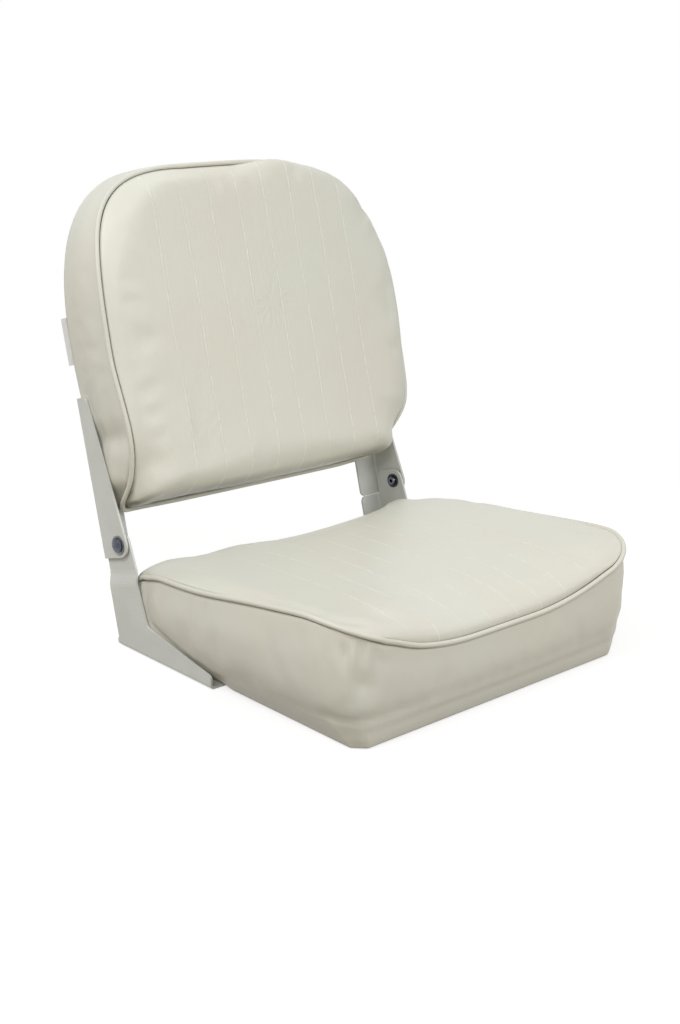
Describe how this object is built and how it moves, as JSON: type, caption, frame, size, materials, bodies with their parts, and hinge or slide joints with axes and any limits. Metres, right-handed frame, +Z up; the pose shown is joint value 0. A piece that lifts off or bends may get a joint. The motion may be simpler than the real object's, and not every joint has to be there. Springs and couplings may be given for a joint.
{
  "type": "folding boat seat",
  "caption": "Low-back folding boat seat: two piped vinyl cushions on plywood, joined by pressed steel side hinges so the back folds forward.",
  "frame": {"origin": "on the bare underside of the seat board, at the middle of the square of four pedestal nuts", "axes": "+Z up, -Y towards the front of the seat, X along the hinge axis"},
  "size_m": [0.4404, 0.4839, 0.4773],
  "materials": {
    "marine_vinyl": "satin",
    "cushion_foam": "matte",
    "plywood": "matte",
    "powder_coat": "satin",
    "zinc_steel": "satin",
    "black_steel": "satin",
    "nylon": "satin",
    "tab_ribbon": "matte"
  },
  "bodies": {
    "seat": {"seat_board": "plywood", "seat_foam": "cushion_foam", "seat_top_panel": "marine_vinyl", "seat_boxing": "marine_vinyl", "seat_piping": "marine_vinyl", "lower_bracket_left": "powder_coat", "lower_bracket_right": "powder_coat", "seat_screw_left_1": "zinc_steel", "seat_screw_left_2": "zinc_steel", "seat_screw_left_3": "zinc_steel", "seat_screw_right_1": "zinc_steel", "seat_screw_right_2": "zinc_steel", "seat_screw_right_3": "zinc_steel", "tee_nut_front_left": "zinc_steel", "tee_nut_front_right": "zinc_steel", "tee_nut_rear_left": "zinc_steel", "tee_nut_rear_right": "zinc_steel", "pivot_rivet_left": "zinc_steel", "pivot_rivet_right": "zinc_steel", "head_washer_left": "zinc_steel", "head_washer_right": "zinc_steel", "pivot_spacer_left": "nylon", "pivot_spacer_right": "nylon", "tail_washer_left": "black_steel", "tail_washer_right": "black_steel"},
    "backrest": {"back_board": "plywood", "back_foam": "cushion_foam", "back_face_panel": "marine_vinyl", "back_boxing": "marine_vinyl", "back_piping": "marine_vinyl", "back_rear_panel": "marine_vinyl", "upper_arm_left": "powder_coat", "upper_arm_right": "powder_coat", "seam_tab": "tab_ribbon", "back_screw_left_1": "zinc_steel", "back_screw_left_2": "zinc_steel", "back_screw_right_1": "zinc_steel", "back_screw_right_2": "zinc_steel"}
  },
  "joints": [
    {"name": "back_fold", "type": "hinge", "parent": "seat", "child": "backrest", "pos_m": [0, 0.171, 0.1037], "axis": [1, 0, 0], "range_deg": [0, 72]}
  ]
}
